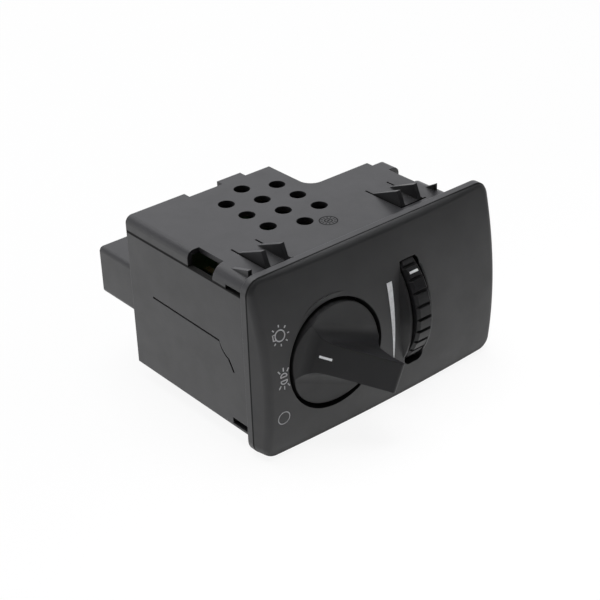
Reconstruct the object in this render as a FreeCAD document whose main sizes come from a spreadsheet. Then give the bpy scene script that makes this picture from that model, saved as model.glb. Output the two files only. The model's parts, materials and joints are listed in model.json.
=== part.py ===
"""Headlight switch: a rotary lamp knob and a dimmer thumbwheel in an L-shaped snap-in housing.

Row frame, millimetres: origin at the centre of the bezel outline on the panel seat, which is the rear
face of the housing's rim. X points right, Y to the back, Z up, all seen from the driver's side.
"""
import FreeCAD, Part
import math
import os
import re
import Sketcher

# Driving sizes: name, millimetres (degrees where said), meaning
SIZES = [
    ("symbol_band", 9.6, "from the bezel's left side to the knob's well"),
    ("wheel_band", 13.9, "from the well to the middle of the thumbwheel"),
    ("right_band", 40.7, "from the middle of the thumbwheel to the bezel's right side"),
    ("wheel_margin", 8.0, "from the wheel's highest and lowest points to the bezel's outline"),
    ("bezel_corner", 5.0, "corner radius of that outline"),
    ("bezel_wall", 2.4, "wall of the bezel moulding"),
    ("bezel_edge", 2.6, "rounding round the face"),
    ("bezel_draft", 12.0, "degrees that the bezel's left and right sides lean inwards"),
    ("rim_thickness", 2.4, "thickness of the housing's rim and front plate"),
    ("face_reach", 10.8, "from the seat to the most forward line of the crowned face"),
    ("crown_radius", 120.0, "radius of the face, curved from top to bottom"),
    ("crown_drop", 8.0, "most forward line of the face below the centre"),
    ("side_drop", 1.5, "how far the face falls back towards its left and right ends"),
    ("knob_z", -1.6, "knob axis"),
    ("well_radius", 18.4, "round well in the bezel"),
    ("well_collar", 1.6, "wall of the well"),
    ("knob_gap", 1.3, "gap between the knob and its well"),
    ("knob_face", 10.2, "from the seat to the middle of the knob's disc"),
    ("knob_dome", 120.0, "radius of the disc's slight dome"),
    ("knob_rest", 25.0, "degrees that the pointer stands clockwise of nine o'clock"),
    ("knob_skin", 2.0, "wall of the knob"),
    ("hub_wall", 2.4, "wall of the knob's hub"),
    ("grip_width", 9.6, "width of the grip blade"),
    ("grip_nose", -10.4, "nose along the grip, from the axis"),
    ("nose_round", 1.4, "rounding of the nose"),
    ("grip_flare", 5.2, "radius of the hollow between grip and disc"),
    ("ramp_foot", 14.8, "where the grip's ramp leaves the disc"),
    ("ramp_slope", 0.79, "rise of the ramp for each millimetre along the grip"),
    ("pointer_rise", 2.8, "height of the ramp over the disc at the pointer's outer end"),
    ("pointer_low", 10.3, "outer end of the pointer line, from the axis"),
    ("pointer_high", 7.1, "inner end of the pointer line, from the axis"),
    ("pointer_width", 0.75, "width of the pointer line"),
    ("pointer_depth", 2.2, "depth of the pointer insert"),
    ("shaft_radius", 5.0, "rotor shaft"),
    ("shaft_flat", 3.8, "flat of the shaft, from the axis"),
    ("tail_radius", 3.0, "rear journal of the rotor"),
    ("running_gap", 0.06, "radial clearance of every turning fit"),
    ("air", 0.3, "clearance between parts that move past each other"),
    ("bearing_length", 4.0, "bearing boss behind the front plate"),
    ("detent_radius", 11.5, "detent disc of the rotor"),
    ("detent_thickness", 4.0, "detent disc of the rotor"),
    ("detent_step", 30.0, "degrees between switch positions"),
    ("detent_notch", 1.3, "radius of a detent notch"),
    ("carrier_radius", 14.5, "moving contact carrier"),
    ("carrier_thickness", 2.0, "moving contact carrier"),
    ("strip", 0.5, "thickness of spring and contact metal"),
    ("track_radius", 10.5, "middle of the contact tracks"),
    ("track_width", 3.0, "width of the contact tracks"),
    ("plate_front", 13.6, "front face of the contact plate"),
    ("plate_thickness", 2.4, "contact plate"),
    ("wheel_z", 0.1, "axis of the thumbwheel"),
    ("wheel_radius", 23.0, "thumbwheel"),
    ("wheel_width", 6.4, "thumbwheel"),
    ("wheel_stand", 6.0, "how far the wheel stands out of the face"),
    ("wheel_axle_radius", 2.0, "thumbwheel axle"),
    ("wheel_sleeve", 1.6, "wall of the sleeve that drives the dimmer"),
    ("wheel_web", 2.4, "web of the thumbwheel"),
    ("rib_count", 32, "ribs round the thumbwheel"),
    ("rib_groove", 1.1, "groove between two ribs"),
    ("rib_depth", 0.9, "depth of that groove"),
    ("mark_angle", 41.5, "degrees that the wheel's mark stands above the middle"),
    ("mark_length", 3.6, "mark across the wheel"),
    ("mark_width", 0.8, "mark along the wheel's rim"),
    ("slot_width", 8.1, "wheel slot in the bezel"),
    ("slot_shift", 0.55, "middle of the slot to the right of the wheel's middle"),
    ("slot_top_inset", 4.2, "from the wheel's top to the slot's upper end"),
    ("slot_low_inset", 4.3, "from the wheel's lowest point to the slot's lower end"),
    ("slot_corner", 2.4, "corner radius of the slot"),
    ("wheel_room", 0.5, "radial gap between the wheel and the slot's relieved ends"),
    ("lip_height", 3.6, "guard lips beside the wheel, above the face"),
    ("lip_inset", 7.5, "from the wheel's top to a guard lip's end"),
    ("lip_sink", 1.0, "how far the crowned face falls back at the lips' ends"),
    ("lip_drop", 1.5, "middle of a lip's arc below the wheel's axis"),
    ("lip_land", 0.7, "flat crest of a guard lip"),
    ("lip_slope", 2.2, "sloping flank of a guard lip"),
    ("cheek_gap", 2.0, "between the wheel and its bearing cheeks"),
    ("cheek", 1.8, "bearing cheek"),
    ("cheek_half", 6.0, "half of the height of a bearing cheek"),
    ("pot_radius", 6.2, "dimmer potentiometer"),
    ("pot_air", 0.25, "room round it in the front plate, where a small wheel brings it that far forwards"),
    ("pot_depth", 5.4, "dimmer potentiometer"),
    ("board", 1.6, "thickness of the circuit boards"),
    ("board_inset", 12.3, "from the main circuit board's front to the back of the deep part"),
    ("board_gap", 0.8, "between the boards and the case's left wall"),
    ("rim_left", 1.3, "how far the rim stands out at the left of the housing"),
    ("rim_right", 10.9, "how far the rim stands out at the right of the housing"),
    ("rim_low", 5.8, "how far the rim stands out below the housing"),
    ("case_wall", 1.8, "wall of housing and cover"),
    ("rim_top", 7.0, "from the rim's upper edge down to the joint of housing and cover"),
    ("cover_height", 5.15, "cover above that joint"),
    ("deep_back", 60.3, "back of the deep left part, outer half"),
    ("deep_step", 2.9, "how much the inner half of that back is set in"),
    ("deep_step_offset", 3.2, "from the knob's axis left to where the back is stepped"),
    ("arm_offset", 30.3, "from the knob's axis to the right side of the deep part"),
    ("arm_room", 6.85, "from the wheel's rearmost point to the back of the shallow right part"),
    ("jog_width", 6.2, "width of the step at the right end of that back"),
    ("jog_step", 2.7, "depth of that step"),
    ("arm_corner", 5.0, "inside corner of the L"),
    ("cover_edge", 2.5, "rounding along the cover's side edges"),
    ("tab_inset", 10.2, "from the deep part's right side to the tab at the back of the cover"),
    ("tab_width", 9.8, "that tab"),
    ("vent_radius", 2.75, "vent holes"),
    ("vent_pitch", 10.6, "vent holes, both ways"),
    ("vent_inset", 17.6, "from the deep part's right side to the middle column of vents"),
    ("vent_rear", 10.3, "from the back of the deep part to the rearmost vent"),
    ("clip_left_inset", 15.55, "from the housing's left side to the middle of the left snap tongue"),
    ("clip_right_inset", 16.3, "from the housing's right side to the middle of the right snap tongue"),
    ("clip_width", 8.8, "snap tongue"),
    ("clip_slit", 0.7, "slit round a snap tongue"),
    ("clip_shift", 1.6, "how much further back the right tongues stand"),
    ("clip_back", 19.3, "root of a snap tongue"),
    ("clip_front", 2.8, "front end of a snap tongue"),
    ("fin", 1.6, "thickness of a snap fin"),
    ("fin_back", 16.0, "where a snap fin starts to rise"),
    ("fin_peak", 5.0, "highest point of a snap fin, behind the seat"),
    ("fin_height", 4.8, "snap fin"),
    ("window_front", 15.1, "notch in the cover's side edge"),
    ("window_back", 27.4, "notch in the cover's side edge"),
    ("window_depth", 4.6, "notch in the cover's side edge"),
    ("shoulder_round", 4.7, "rounding of the cover's side edges in front of the notches"),
    ("ear_height", 2.3, "small corner fins beside the rim"),
    ("ear", 1.4, "thickness of a corner fin"),
    ("side_line", 0.7, "width of the shallow line on the left side"),
    ("side_line_depth", 0.4, "depth of that line"),
    ("socket_inset", 1.2, "from the housing's left side to the connector"),
    ("socket_width", 34.0, "outside of the connector"),
    ("socket_low", -7.4, "outside of the connector"),
    ("socket_height", 17.4, "outside of the connector"),
    ("socket_depth", 19.7, "from the back of the housing to the connector's mouth"),
    ("socket_wall", 1.6, "wall of the connector"),
    ("socket_base", 3.0, "base of the connector"),
    ("pin_pitch", 4.8, "terminal pins along a row"),
    ("pin_rows", 8.4, "between the two rows of pins"),
    ("pin_width", 2.3, "terminal pin"),
    ("pin_thickness", 0.8, "terminal pin"),
    ("pin_sink", 4.5, "tips of the terminal pins inside the connector's mouth"),
    ("post_radius", 3.0, "screw posts"),
    ("post_left_inset", 6.2, "from the housing's left side to the screw posts"),
    ("post_right_inset", 7.8, "from the deep part's right side to the screw posts"),
    ("post_top_inset", 7.5, "from the joint of housing and cover to the upper posts"),
    ("post_low_inset", 7.7, "from the housing's bottom to the lower posts"),
    ("lamp_drop", 9.1, "from the upper screw posts down to the lamps beside them"),
    ("lamp_rise", 6.9, "from the lower screw posts up to the lamp beside them"),
    ("lamp_from_wheel", 11.0, "from the wheel's middle to the lamp beside it"),
    ("screw_radius", 1.2, "self-tapping screws"),
    ("screw_head", 2.5, "radius of a screw head"),
    ("screw_head_height", 1.6, "height of a screw head"),
    ("lamp_radius", 2.4, "small lamp bulbs"),
]

doc = FreeCAD.newDocument("headlight_switch")
sheet = doc.addObject("Spreadsheet::Sheet", "Sizes")
for row, (alias, number, meaning) in enumerate(SIZES, start=1):
    sheet.set("A%d" % row, meaning)
    sheet.set("B%d" % row, str(number))
    sheet.setAlias("B%d" % row, alias)
doc.recompute()
ALIASES = {alias for alias, _, _ in SIZES}

# Places worked out from the driving sizes
KNOB_RADIUS = "(well_radius - knob_gap)"
WHEEL_Y = "(-face_reach - wheel_stand + wheel_radius + crown_drop^2 / (2 * crown_radius))"
SLEEVE_RADIUS = "(wheel_axle_radius + wheel_sleeve)"
DISC_FRONT = "(bearing_length + air)"
CARRIER_FRONT = "(bearing_length + air + detent_thickness)"
POT_LEFT = "(wheel_x + wheel_width / 2 + cheek_gap + cheek)"
BOARD_BACK = "(board_front + board)"
SOCKET_X = "((socket_left + socket_right) / 2)"
SOCKET_Z = "((socket_low + socket_high) / 2)"
BACK_INNER = "(deep_back - deep_step)"
DERIVED = {
    "bezel_width": "(symbol_band + 2 * well_radius + wheel_band + right_band)",
    "bezel_height": "(2 * (wheel_radius + wheel_margin))",
    "knob_x": "(symbol_band + well_radius - bezel_width / 2)",
    "wheel_x": "(knob_x + well_radius + wheel_band)",
    "slot_x": "(wheel_x + slot_shift)",
    "slot_top": "(wheel_z + wheel_radius - slot_top_inset)",
    "slot_bottom": "(wheel_z - wheel_radius + slot_low_inset)",
    "lip_half": "(wheel_radius - lip_inset)",
    "case_left": "(rim_left - bezel_width / 2)",
    "case_right": "(bezel_width / 2 - rim_right)",
    "case_bottom": "(rim_low - bezel_height / 2)",
    "seam_z": "(bezel_height / 2 - rim_top)",
    "cover_top": "(seam_z + cover_height)",
    "deep_step_x": "(knob_x - deep_step_offset)",
    "arm_x": "(knob_x + arm_offset)",
    "arm_back": "(%s + wheel_radius + arm_room)" % WHEEL_Y,
    "jog_x": "(case_right - jog_width)",
    "jog_back": "(arm_back - jog_step)",
    "vent_x": "(arm_x - vent_inset)",
    "vent_back": "(deep_back - vent_rear)",
    "clip_left": "(case_left + clip_left_inset)",
    "clip_right": "(case_right - clip_right_inset)",
    "socket_left": "(case_left + socket_inset)",
    "socket_right": "(socket_left + socket_width)",
    "socket_high": "(socket_low + socket_height)",
    "socket_back": "(deep_back + socket_depth)",
    "pin_end": "(socket_back - pin_sink)",
    "board_front": "(deep_back - board_inset)",
    "board_left": "(case_left + case_wall + board_gap)",
    "board_low": "(case_bottom + case_wall + 2.5 * board_gap)",
}


def bound(text):
    """The expression with derived places written out and the name of each size pointing at the sheet."""
    def spelled(word):
        name = word.group()
        if name in DERIVED:
            return bound(DERIVED[name])
        return "Sizes." + name if name in ALIASES else name

    return re.sub(r"[a-z][a-z0-9_]*", spelled, str(text))


def value(text):
    """The number that an expression comes to."""
    return float(sheet.evalExpression(bound(text)))


def bind(thing, **properties):
    """Binds properties of an object to expressions; a double underscore stands for a point."""
    for name, text in properties.items():
        thing.setExpression(name.replace("__", "."), bound(text))


# Sketches and features of a body

PLANES = {"plan": "XY_Plane", "front": "XZ_Plane", "side": "YZ_Plane"}


def body_at(label, x="0", y="0", z="0", turn=None):
    """A body whose own origin stands at x, y, z, turned about its Y axis by an expression in degrees."""
    body = doc.addObject("PartDesign::Body", label)
    if turn:
        body.Placement = FreeCAD.Placement(FreeCAD.Vector(),
                                           FreeCAD.Rotation(FreeCAD.Vector(0, 1, 0), value(turn)))
        bind(body, Placement__Rotation__Angle=turn)
    bind(body, Placement__Base__x=x, Placement__Base__y=y, Placement__Base__z=z)
    return body


def empty_sketch(body, name, plane, shift):
    """A sketch on one of the body's planes, moved along the plane's normal or by three lengths."""
    sketch = body.newObject("Sketcher::SketchObject", name)
    origin_plane = [part for part in body.Origin.OriginFeatures if part.Role == PLANES[plane]][0]
    sketch.AttachmentSupport = (origin_plane, [""])
    sketch.MapMode = "FlatFace"
    across, up, out = shift if isinstance(shift, tuple) else ("0", "0", shift)
    bind(sketch, AttachmentOffset__Base__x=across, AttachmentOffset__Base__y=up,
         AttachmentOffset__Base__z=out)
    return sketch


def hold(sketch, kind, *spots, text):
    """Adds a constraint whose size is an expression."""
    number = sketch.addConstraint(Sketcher.Constraint(kind, *spots, value(text)))
    sketch.setExpression("Constraints[%d]" % number, bound(text))


def outline(body, name, plane, shift, path):
    """A closed outline: each corner is (across, up), or (across, up, radius, side) where an arc leaves it.

    side is +1 where the arc bulges to the left of the way along the outline, and -1 to the right.
    """
    sketch = empty_sketch(body, name, plane, shift)
    corners = [FreeCAD.Vector(value(corner[0]), value(corner[1]), 0) for corner in path]
    starts, ends = [], []
    for index, corner in enumerate(path):
        here, there = corners[index], corners[(index + 1) % len(path)]
        if len(corner) == 2:
            sketch.addGeometry(Part.LineSegment(here, there), False)
            starts.append(1)
            ends.append(2)
            continue
        radius, side = value(corner[2]), corner[3]
        chord = there - here
        left = FreeCAD.Vector(-chord.y, chord.x, 0).normalize()
        sink = math.sqrt(max(radius ** 2 - (chord.Length / 2) ** 2, 0))
        centre = (here + there) * 0.5 - left * (side * sink)
        first, last = (there, here) if side > 0 else (here, there)
        circle = Part.Circle(centre, FreeCAD.Vector(0, 0, 1), radius)
        sketch.addGeometry(Part.ArcOfCircle(circle, circle.parameter(first), circle.parameter(last)), False)
        starts.append(2 if side > 0 else 1)
        ends.append(1 if side > 0 else 2)
    for index, corner in enumerate(path):
        following = (index + 1) % len(path)
        sketch.addConstraint(Sketcher.Constraint("Coincident", index, ends[index], following,
                                                 starts[following]))
        hold(sketch, "DistanceX", index, starts[index], text=corner[0])
        hold(sketch, "DistanceY", index, starts[index], text=corner[1])
        if len(corner) > 2:
            hold(sketch, "Radius", index, text=corner[2])
    return sketch


def rectangle(body, name, plane, shift, left, right, low, high):
    return outline(body, name, plane, shift, [(left, low), (right, low), (right, high), (left, high)])


def rounded(body, name, plane, shift, left, right, low, high, corner):
    """A rectangle with round corners, walked anticlockwise."""
    path = [("%s + %s" % (left, corner), low), ("%s - %s" % (right, corner), low, corner, -1),
            (right, "%s + %s" % (low, corner)), (right, "%s - %s" % (high, corner), corner, -1),
            ("%s - %s" % (right, corner), high), ("%s + %s" % (left, corner), high, corner, -1),
            (left, "%s - %s" % (high, corner)), (left, "%s + %s" % (low, corner), corner, -1)]
    return outline(body, name, plane, shift, path)


def circles(body, name, plane, shift, rings):
    """Round outlines, each (across, up, radius)."""
    sketch = empty_sketch(body, name, plane, shift)
    for index, (across, up, radius) in enumerate(rings):
        centre = FreeCAD.Vector(value(across), value(up), 0)
        sketch.addGeometry(Part.Circle(centre, FreeCAD.Vector(0, 0, 1), value(radius)), False)
        hold(sketch, "DistanceX", index, 3, text=across)
        hold(sketch, "DistanceY", index, 3, text=up)
        hold(sketch, "Radius", index, text=radius)
    return sketch


def pad(body, sketch, length, lean=None):
    """Adds material from the sketch along its normal: plan up, front forwards, side to the right."""
    feature = body.newObject("PartDesign::Pad", sketch.Name + "_pad")
    feature.Profile = sketch
    bind(feature, Length=length)
    if lean:
        bind(feature, TaperAngle="-" + lean)
    return finish_feature(body, feature)


def pocket(body, sketch, length):
    """Cuts material from the sketch along its normal, and stops the build if it cuts nothing."""
    before = body.Tip.Shape.Volume
    feature = body.newObject("PartDesign::Pocket", sketch.Name + "_pocket")
    feature.Profile = sketch
    feature.Reversed = True
    bind(feature, Length=length)
    finish_feature(body, feature)
    if feature.Shape.Volume > before - 1e-3:
        raise RuntimeError(feature.Name + " cuts nothing")
    return feature


def revolve(body, sketch, axis, sweep="360", groove=False):
    """Turns the sketch round its own H_Axis or V_Axis, all round or evenly to both sides."""
    kind = "PartDesign::Groove" if groove else "PartDesign::Revolution"
    feature = body.newObject(kind, sketch.Name + "_turned")
    feature.Profile = sketch
    feature.ReferenceAxis = (sketch, [axis])
    feature.Midplane = sweep != "360"
    bind(feature, Angle=sweep)
    return finish_feature(body, feature)


def around(body, feature, axis, count):
    """Repeats a feature evenly round one of the body's own axes."""
    pattern = body.newObject("PartDesign::PolarPattern", feature.Name + "_around")
    pattern.Originals = [feature]
    pattern.Axis = ([part for part in body.Origin.OriginFeatures if part.Role == axis][0], [""])
    pattern.Angle = 360
    bind(pattern, Occurrences=count)
    body.Tip = pattern
    return finish_feature(body, pattern)


def dress(body, kind, size, chosen):
    """Fillet or Chamfer on the edges that a test picks."""
    base = body.Tip
    edges = ["Edge%d" % (number + 1) for number, edge in enumerate(base.Shape.Edges) if chosen(edge)]
    feature = body.newObject("PartDesign::" + kind, base.Name + "_" + kind.lower())
    feature.Base = (base, edges)
    bind(feature, **{"Radius" if kind == "Fillet" else "Size": size})
    return finish_feature(body, feature)


def finish_feature(body, feature):
    doc.recompute()
    if feature.Shape.isNull() or not feature.Shape.isValid() or "Invalid" in feature.State:
        raise RuntimeError("feature failed: " + feature.Name)
    return feature


# Parts made of simple solids

def box(name, x, y, z):
    """A box between pairs of expressions along each axis."""
    solid = doc.addObject("Part::Box", name)
    bind(solid, Placement__Base__x=x[0], Placement__Base__y=y[0], Placement__Base__z=z[0],
         Length="%s - (%s)" % (x[1], x[0]), Width="%s - (%s)" % (y[1], y[0]),
         Height="%s - (%s)" % (z[1], z[0]))
    return solid


AXIS_TURN = {"x": FreeCAD.Rotation(FreeCAD.Vector(0, 1, 0), 90),
             "y": FreeCAD.Rotation(FreeCAD.Vector(1, 0, 0), -90)}


def rod(name, axis, radius, span, across):
    """A cylinder along x or y, between two expressions, with its axis at the other two coordinates."""
    solid = doc.addObject("Part::Cylinder", name)
    solid.Placement = FreeCAD.Placement(FreeCAD.Vector(), AXIS_TURN[axis])
    if axis == "x":
        bind(solid, Placement__Base__x=span[0], Placement__Base__y=across[0], Placement__Base__z=across[1])
    else:
        bind(solid, Placement__Base__x=across[0], Placement__Base__y=span[0], Placement__Base__z=across[1])
    bind(solid, Radius=radius, Height="%s - (%s)" % (span[1], span[0]))
    return solid


def joined(name, solids):
    whole = doc.addObject("Part::MultiFuse", name)
    whole.Shapes = solids
    return whole


def taken_from(name, base, tools):
    whole = doc.addObject("Part::Cut", name)
    whole.Base = base
    whole.Tool = tools[0] if len(tools) == 1 else joined(name + "_tools", tools)
    return whole


def group(name, solids):
    """Separate solids that share one node."""
    whole = doc.addObject("Part::Compound", name)
    whole.Links = solids
    return whole


# Edge tests

def along(edge, direction, tolerance=1e-3):
    """Whether an edge is straight along X, Y or Z."""
    if not isinstance(edge.Curve, (Part.Line, Part.LineSegment)):
        return False
    span = edge.Vertexes[-1].Point - edge.Vertexes[0].Point
    return abs(abs(span.dot(direction)) - span.Length) < tolerance * span.Length


X_WAY, Y_WAY, Z_WAY = FreeCAD.Vector(1, 0, 0), FreeCAD.Vector(0, 1, 0), FreeCAD.Vector(0, 0, 1)


SIDE_RADIUS = "((bezel_width / 2)^2 / (2 * side_drop))"


def face_y(z, depth="0"):
    """Y of the crowned face at a height, or of a surface that lies a depth behind it."""
    return "(-face_reach + crown_radius - sqrt((crown_radius - %s)^2 - (%s + crown_drop)^2))" % (depth, z)


def crowned_block(label, inset, front_gap):
    """The bezel's outer form, or its hollow where inset is the wall: leaning sides, face curved both ways."""
    body = body_at(label)
    half_width, half_height = "(bezel_width / 2 - %s)" % inset, "(bezel_height / 2 - %s)" % inset
    blank = rectangle(body, label + "_blank", "front", "rim_thickness - %s" % front_gap, "-" + half_width,
                      half_width,
                      "-" + half_height, half_height)
    pad(body, blank, "face_reach - rim_thickness + 2")
    run = "(face_reach - rim_thickness + 3)"
    for side, sign in (("left", "-"), ("right", "")):
        wedge = [(sign + half_width, "-rim_thickness"), (sign + "(%s + 2)" % half_width, "-rim_thickness"),
                 (sign + "(%s + 2)" % half_width, "-rim_thickness - " + run),
                 (sign + "(%s - %s * tan(bezel_draft))" % (half_width, run), "-rim_thickness - " + run)]
        lean = outline(body, "%s_lean_%s" % (label, side), "plan", "-%s - 1" % half_height, wedge)
        pocket(body, lean, "2 * %s + 2" % half_height)
    corner_x, corner_z = value(half_width) - 4, value(half_height) - 0.01

    def leaning_corner(edge):
        spots = [vertex.Point for vertex in edge.Vertexes]
        at_corner = all(abs(spot.x) > corner_x and abs(spot.z) > corner_z for spot in spots)
        return at_corner and abs(spots[0].y - spots[-1].y) > 1

    dress(body, "Fillet", "bezel_corner - %s" % inset, leaning_corner)
    low, high = "(-bezel_height / 2 - 1)", "(bezel_height / 2 + 1)"
    axis_y = "(-face_reach + %s)" % SIDE_RADIUS
    ahead = "(-face_reach - 9 - %s)" % axis_y
    at_low, at_high = ("(%s - %s)" % (face_y(z, inset), axis_y) for z in (low, high))
    crown = outline(body, label + "_crown", "side", (axis_y, "0", "0"),
                    [(ahead, low), (at_low, low, "(crown_radius - %s)" % inset, 1), (at_high, high),
                     (ahead, high)])
    revolve(body, crown, "V_Axis", sweep="2 * asin((bezel_width / 2 + 4) / %s)" % SIDE_RADIUS, groove=True)
    return body


# The bezel

def front_bezel():
    body = crowned_block("front_bezel", "0", "0")
    side = value("bezel_width / 2") - 4
    height = value("bezel_height / 2") - 4
    front_line = value("-rim_thickness") - 0.5

    def round_the_face(edge):
        spots = [vertex.Point for vertex in edge.Vertexes]
        away = all(abs(spot.x) > side or abs(spot.z) > height for spot in spots)
        return away and all(spot.y < front_line for spot in spots)

    dress(body, "Fillet", "bezel_edge", round_the_face)
    hollow = crowned_block("bezel_hollow", "bezel_wall", "0.5")
    shell = body.newObject("PartDesign::Boolean", "bezel_shell")
    shell.Type = "Cut"
    shell.setObjects([hollow])
    finish_feature(body, shell)

    collar = circles(body, "well_collar_ring", "front", "rim_thickness",
                     [("knob_x", "knob_z", "well_radius + well_collar")])
    pad(body, collar, "face_reach - bezel_wall - rim_thickness - 0.5")
    well = circles(body, "well", "front", "0", [("knob_x", "knob_z", "well_radius")])
    pocket(body, well, "face_reach + 5")

    rise = "(lip_height + lip_sink)"
    lip_radius = "((lip_half^2 + %s^2) / (2 * %s))" % (rise, rise)
    face = face_y("wheel_z")
    axis_y = "(%s - lip_height + %s)" % (face, lip_radius)
    edge_x, foot = "(slot_width / 2)", "(%s - lip_height - bezel_wall / 2)" % lip_radius
    section = [("-%s - lip_land - lip_slope" % edge_x, "-" + foot),
               ("%s + lip_land + lip_slope" % edge_x, "-" + foot),
               ("%s + lip_land" % edge_x, "-" + lip_radius), ("-%s - lip_land" % edge_x, "-" + lip_radius)]
    lips = outline(body, "guard_lips", "plan", ("slot_x", axis_y, "wheel_z - lip_drop"), section)
    revolve(body, lips, "H_Axis", sweep="2 * asin((lip_half + bezel_wall / 2) / %s)" % lip_radius)
    slot = rounded(body, "wheel_slot", "front", "0", "slot_x - slot_width / 2", "slot_x + slot_width / 2",
                   "slot_bottom", "slot_top", "slot_corner")
    pocket(body, slot, "face_reach + lip_height + 10")
    half, outer = "(wheel_width / 2 + wheel_room / 2)", "(wheel_radius + wheel_room)"
    inner = "(wheel_radius - 3 * bezel_wall)"
    relief = [("-" + half, "-" + outer), (half, "-" + outer), (half, "-" + inner), ("-" + half, "-" + inner)]
    relief = outline(body, "wheel_relief", "plan", ("wheel_x", WHEEL_Y, "wheel_z"), relief)
    revolve(body, relief, "H_Axis", groove=True)
    return body


# The housing

def plan_path(inset, front):
    """The housing's outline from above, moved in by a wall."""
    return [("case_left + %s" % inset, front), ("case_right - %s" % inset, front),
            ("case_right - %s" % inset, "jog_back - %s" % inset),
            ("jog_x - %s" % inset, "jog_back - %s" % inset),
            ("jog_x - %s" % inset, "arm_back - %s" % inset), ("arm_x - %s" % inset, "arm_back - %s" % inset),
            ("arm_x - %s" % inset, "deep_back - deep_step - %s" % inset),
            ("deep_step_x - %s" % inset, "deep_back - deep_step - %s" % inset),
            ("deep_step_x - %s" % inset, "deep_back - %s" % inset),
            ("case_left + %s" % inset, "deep_back - %s" % inset)]


POST_XS = ("(case_left + post_left_inset)", "(arm_x - post_right_inset)")
POST_ZS = ("(seam_z - post_top_inset)", "(case_bottom + post_low_inset)")
PLATE_POSTS = [(x, z) for x in POST_XS for z in POST_ZS]
BOARD_POSTS = [(x, z, back + " - case_wall") for x, back in zip(POST_XS, ("deep_back", BACK_INNER))
               for z in POST_ZS]
LAMP_LEFT, LAMP_RIGHT = "(case_left + 2 * lamp_radius)", "(wheel_x - lamp_from_wheel)"
LAMP_HIGH, LAMP_LOW = "(%s - lamp_drop)" % POST_ZS[0], "(%s + lamp_rise)" % POST_ZS[1]
LAMPS = [(LAMP_LEFT, LAMP_HIGH), (LAMP_LEFT, LAMP_LOW), (LAMP_RIGHT, LAMP_HIGH)]


CLIPS = (("clip_left", "0"), ("clip_right", "clip_shift"))


def snap_slits(body, plane_z, thickness, name):
    """The slits that free each snap tongue, cut upwards from plane_z."""
    for number, (centre, back) in enumerate(CLIPS):
        left, right = "(%s - clip_width / 2)" % centre, "(%s + clip_width / 2)" % centre
        path = [(left + " - clip_slit", "clip_front - clip_slit"),
                (right + " + clip_slit + 1", "clip_front - clip_slit"),
                (right + " + clip_slit + 1", "clip_front"), (right + " + clip_slit", "clip_front"),
                (right + " + clip_slit", "clip_back"), (right, "clip_back"), (right, "clip_front"),
                (left, "clip_front"), (left, "clip_back"), (left + " - clip_slit", "clip_back")]
        slit = outline(body, "%s_slit_%d" % (name, number), "plan", ("0", back, plane_z), path)
        pocket(body, slit, thickness)


def snap_fins(body, base_z, side, name):
    """Two barbed fins on each tongue; side is "" above and "-" below."""
    sink = "0.4"
    for number, (centre, back) in enumerate(CLIPS):
        for end, x in enumerate(("%s - clip_width / 2" % centre, "%s + clip_width / 2 - fin" % centre)):
            path = [("clip_front", "%s - %s1 * %s" % (base_z, side, sink)),
                    ("fin_back", "%s - %s1 * %s" % (base_z, side, sink)), ("fin_back", base_z),
                    ("fin_peak", "%s + %s1 * fin_height" % (base_z, side)), ("clip_front", base_z)]
            fin = outline(body, "%s_fin_%d%d" % (name, number, end), "side", (back, "0", x), path)
            pad(body, fin, "fin")


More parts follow.
